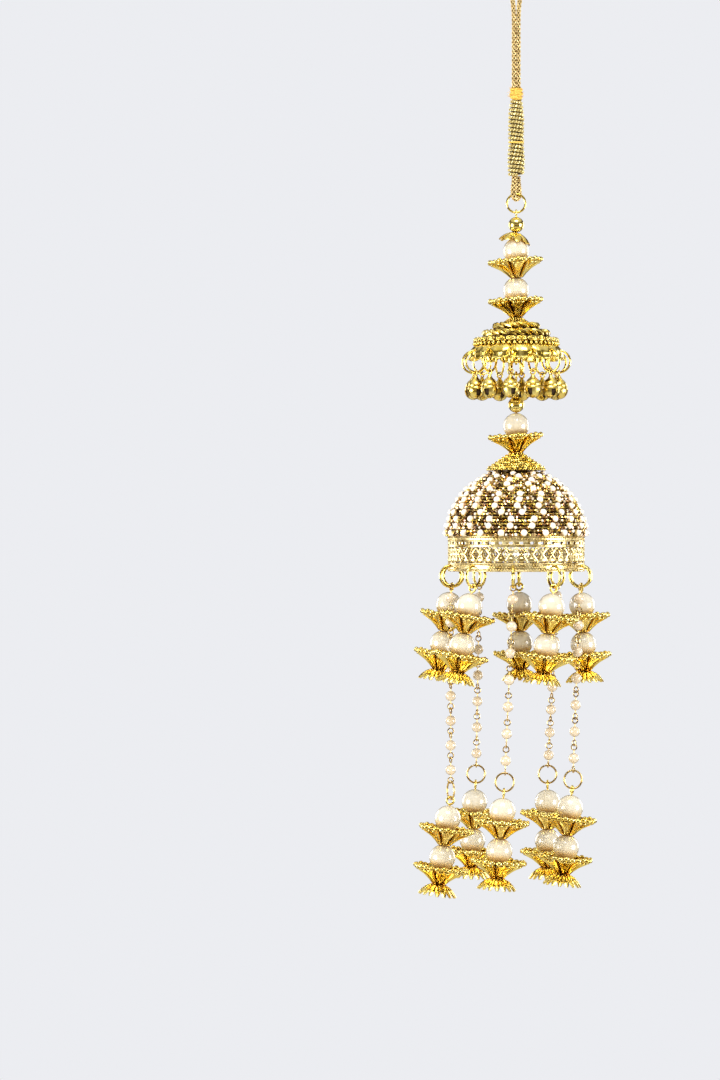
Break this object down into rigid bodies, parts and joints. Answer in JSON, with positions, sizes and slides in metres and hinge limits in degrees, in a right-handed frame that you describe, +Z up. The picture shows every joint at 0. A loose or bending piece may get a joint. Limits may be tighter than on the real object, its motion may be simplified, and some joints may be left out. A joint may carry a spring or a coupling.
{
  "type": "hanging bridal bangle ornament",
  "caption": "Hanging ornament on a cord loop: pearls in lotus cups, a bell tier and a beaded dome with pearl drops on rings and beaded chains.",
  "frame": {"origin": "inside of the top of the cord loop, where the ornament hangs", "axes": "+Z up along the cord, -Y towards the front, +X to the right seen from the front"},
  "size_m": [0.0618, 0.0586, 0.2902],
  "materials": {
    "gold_cord": "braided metallic gold yarn",
    "gold_thread": "wound pale gold thread",
    "polished_gold": "bright yellow gold plating",
    "filigree_gold": "bright gold plating over wire and granulation",
    "pearl": "cream pearl lustre",
    "peach_bead": "peach pearl lustre",
    "beaded_dome": "rows of white pearl beads and champagne stones on gold"
  },
  "bodies": {
    "root": {"cord_loop": "gold_cord", "thread_wrap": "gold_thread", "cord_eye": "gold_cord"},
    "ring": {"top_ring": "polished_gold"},
    "upper": {"top_pin": "polished_gold", "gold_bead_top": "polished_gold", "star_cap": "polished_gold", "pearl_top_1": "pearl", "cup_top_1": "polished_gold", "pearl_top_2": "pearl", "cup_top_2": "polished_gold", "bell_cone": "filigree_gold", "bell_rings": "polished_gold", "bells": "polished_gold"},
    "link": {"mid_link": "polished_gold"},
    "lower": {"mid_pin": "polished_gold", "spacer_beads": "polished_gold", "gold_bead_mid": "polished_gold", "pearl_mid": "pearl", "cup_mid": "polished_gold", "dome_cap": "filigree_gold", "dome": "beaded_dome", "lace_band": "filigree_gold", "band_rings": "polished_gold", "short_pin_1": "polished_gold", "short_pin_2": "polished_gold", "short_pin_3": "polished_gold", "short_pin_4": "polished_gold", "short_pin_5": "polished_gold", "short_pearls_1": "pearl", "short_pearls_2": "pearl", "short_pearls_3": "pearl", "short_pearls_4": "pearl", "short_pearls_5": "pearl", "short_cups_1": "polished_gold", "short_cups_2": "polished_gold", "short_cups_3": "polished_gold", "short_cups_4": "polished_gold", "short_cups_5": "polished_gold", "chain_1": "peach_bead", "chain_2": "peach_bead", "chain_3": "peach_bead", "chain_4": "peach_bead", "chain_5": "peach_bead", "long_pin_1": "polished_gold", "long_pin_2": "polished_gold", "long_pin_3": "polished_gold", "long_pin_4": "polished_gold", "long_pin_5": "polished_gold", "long_pearls_1": "pearl", "long_pearls_2": "pearl", "long_pearls_3": "pearl", "long_pearls_4": "pearl", "long_pearls_5": "pearl", "long_cups_1": "polished_gold", "long_cups_2": "polished_gold", "long_cups_3": "polished_gold", "long_cups_4": "polished_gold", "long_cups_5": "polished_gold"}
  },
  "joints": [
    {"name": "ring_swing", "type": "hinge", "parent": "root", "child": "ring", "pos_m": [0, 0, -0.07365], "axis": [0, 1, 0], "range_deg": [-30, 30]},
    {"name": "pendant_tilt", "type": "hinge", "parent": "ring", "child": "upper", "pos_m": [0, 0, -0.0765], "axis": [1, 0, 0], "range_deg": [-30, 30]},
    {"name": "link_tilt", "type": "hinge", "parent": "upper", "child": "link", "pos_m": [0, 0, -0.12345], "axis": [0, 1, 0], "range_deg": [-25, 25]},
    {"name": "dome_swing", "type": "hinge", "parent": "link", "child": "lower", "pos_m": [0, 0, -0.12682], "axis": [1, 0, 0], "range_deg": [-25, 25]}
  ]
}
